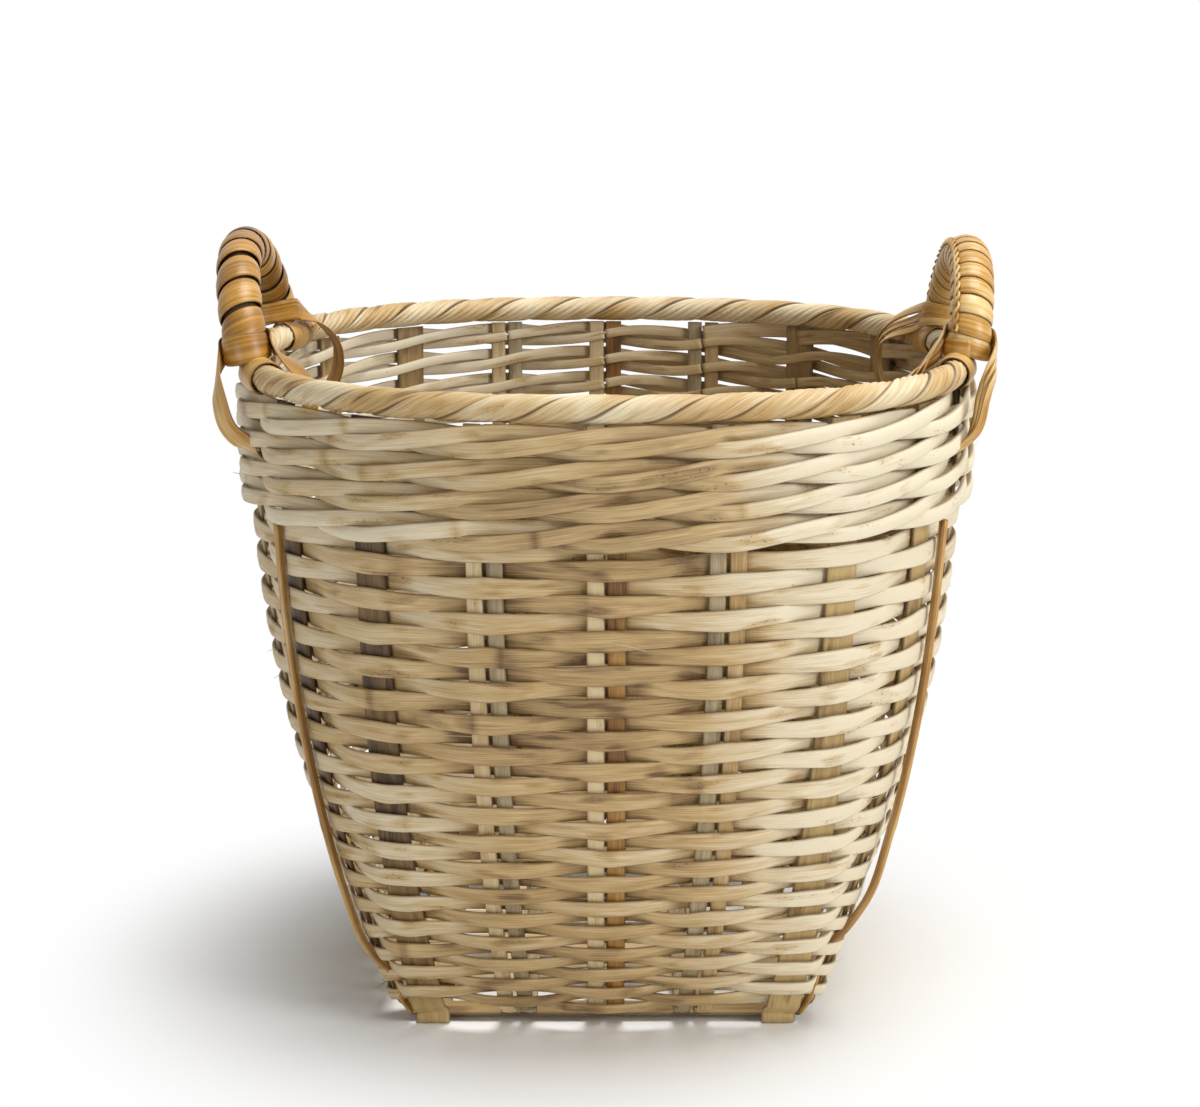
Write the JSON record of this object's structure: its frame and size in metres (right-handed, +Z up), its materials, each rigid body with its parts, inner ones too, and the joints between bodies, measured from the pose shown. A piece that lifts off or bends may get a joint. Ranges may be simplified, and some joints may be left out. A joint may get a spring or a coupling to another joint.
{
  "type": "market basket",
  "caption": "Deep round-topped basket woven of split bamboo on a square base, with a braided band under a rope rim and a short wrapped arch handle on each side for carrying.",
  "frame": {"origin": "on the floor, under the middle of the square base", "axes": "+Z up, -Y the front that the picture shows, +X to the right, with the handles at +X and -X"},
  "size_m": [0.4104, 0.398, 0.41],
  "materials": {
    "bamboo_weaver": "dry split bamboo, matt",
    "bamboo_band": "pale split bamboo, satin",
    "bamboo_stake": "split bamboo, matt",
    "bamboo_slat": "brown bamboo skin, matt",
    "rattan_peel": "glossy rattan peel",
    "rattan_core": "satin rattan pole"
  },
  "bodies": {
    "root": {"slat_front_to_back_1": "bamboo_slat", "splint_front_to_back_2a": "bamboo_stake", "splint_front_to_back_2b": "bamboo_stake", "splint_front_to_back_3a": "bamboo_stake", "splint_front_to_back_3b": "bamboo_stake", "splint_front_to_back_4a": "bamboo_stake", "splint_front_to_back_4b": "bamboo_stake", "slat_front_to_back_5": "bamboo_slat", "slat_right_to_left_1": "bamboo_slat", "splint_right_to_left_2a": "bamboo_stake", "splint_right_to_left_2b": "bamboo_stake", "splint_right_to_left_3a": "bamboo_stake", "splint_right_to_left_3b": "bamboo_stake", "splint_right_to_left_4a": "bamboo_stake", "splint_right_to_left_4b": "bamboo_stake", "slat_right_to_left_5": "bamboo_slat", "weaver_a1": "bamboo_weaver", "weaver_a2": "bamboo_weaver", "weaver_a3": "bamboo_weaver", "weaver_a4": "bamboo_weaver", "weaver_a5": "bamboo_weaver", "weaver_a6": "bamboo_weaver", "weaver_a7": "bamboo_weaver", "weaver_a8": "bamboo_weaver", "weaver_b1": "bamboo_weaver", "weaver_b2": "bamboo_weaver", "weaver_b3": "bamboo_weaver", "weaver_b4": "bamboo_weaver", "weaver_b5": "bamboo_weaver", "weaver_b6": "bamboo_weaver", "weaver_b7": "bamboo_weaver", "weaver_b8": "bamboo_weaver", "band_strand_1_round_1": "bamboo_band", "band_strand_1_round_2": "bamboo_band", "band_strand_1_round_3": "bamboo_band", "band_strand_1_round_4": "bamboo_band", "band_strand_2_round_1": "bamboo_band", "band_strand_2_round_2": "bamboo_band", "band_strand_2_round_3": "bamboo_band", "band_strand_2_round_4": "bamboo_band", "band_strand_3_round_1": "bamboo_band", "band_strand_3_round_2": "bamboo_band", "band_strand_3_round_3": "bamboo_band", "band_strand_3_round_4": "bamboo_band", "rim_rope": "bamboo_band", "handle_core_left": "rattan_core", "handle_winding_left": "rattan_peel", "lashing_left_front": "rattan_peel", "lashing_left_back": "rattan_peel", "handle_core_right": "rattan_core", "handle_winding_right": "rattan_peel", "lashing_right_front": "rattan_peel", "lashing_right_back": "rattan_peel", "side_cane_front_right": "rattan_peel", "side_cane_back_right": "rattan_peel", "side_cane_back_left": "rattan_peel", "side_cane_front_left": "rattan_peel"}
  },
  "joints": []
}
